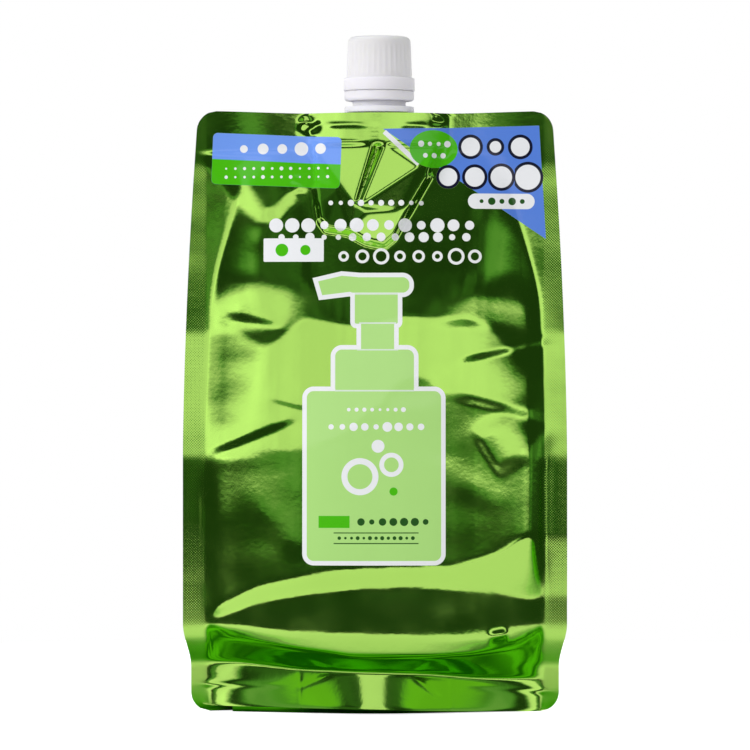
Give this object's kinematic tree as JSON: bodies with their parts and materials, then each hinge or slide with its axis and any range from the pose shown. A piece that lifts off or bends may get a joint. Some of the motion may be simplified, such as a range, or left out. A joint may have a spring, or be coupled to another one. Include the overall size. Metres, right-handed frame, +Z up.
{
  "type": "hand soap refill pack",
  "caption": "Stand-up film pouch for refilling a hand soap dispenser, with a spout welded into its top seal and a ribbed screw cap with a tamper ring.",
  "frame": {"origin": "centre of the bounding box on the surface that the pack stands on", "axes": "+Z up, as the pack stands, +X along the width to the right seen from the front, +Y from the printed front to the back"},
  "size_m": [0.18, 0.0526, 0.3161],
  "materials": {
    "film": "green metallised film, glossy, with printed fields",
    "spout_plastic": "natural white moulded plastic",
    "cap_plastic": "natural white moulded plastic, ribbed",
    "liner": "foamed plastic"
  },
  "bodies": {
    "pack": {"pouch": "film", "spout": "spout_plastic", "tamper_ring": "cap_plastic"},
    "cap_carriage": {"cap_liner": "liner"},
    "screw_cap": {"cap": "cap_plastic"}
  },
  "joints": [
    {"name": "cap_lift", "type": "slide", "parent": "pack", "child": "cap_carriage", "axis": [0, 0, 1], "range_m": [0, 0.0062]},
    {"name": "cap_turn", "type": "hinge", "parent": "cap_carriage", "child": "screw_cap", "pos_m": [0.002, 0, 0.3], "axis": [0, 0, 1], "range_deg": [0, 630]}
  ],
  "couplings": [
    {"joint": "cap_lift", "follows": "cap_turn", "m_per_rad": 0.000557}
  ]
}
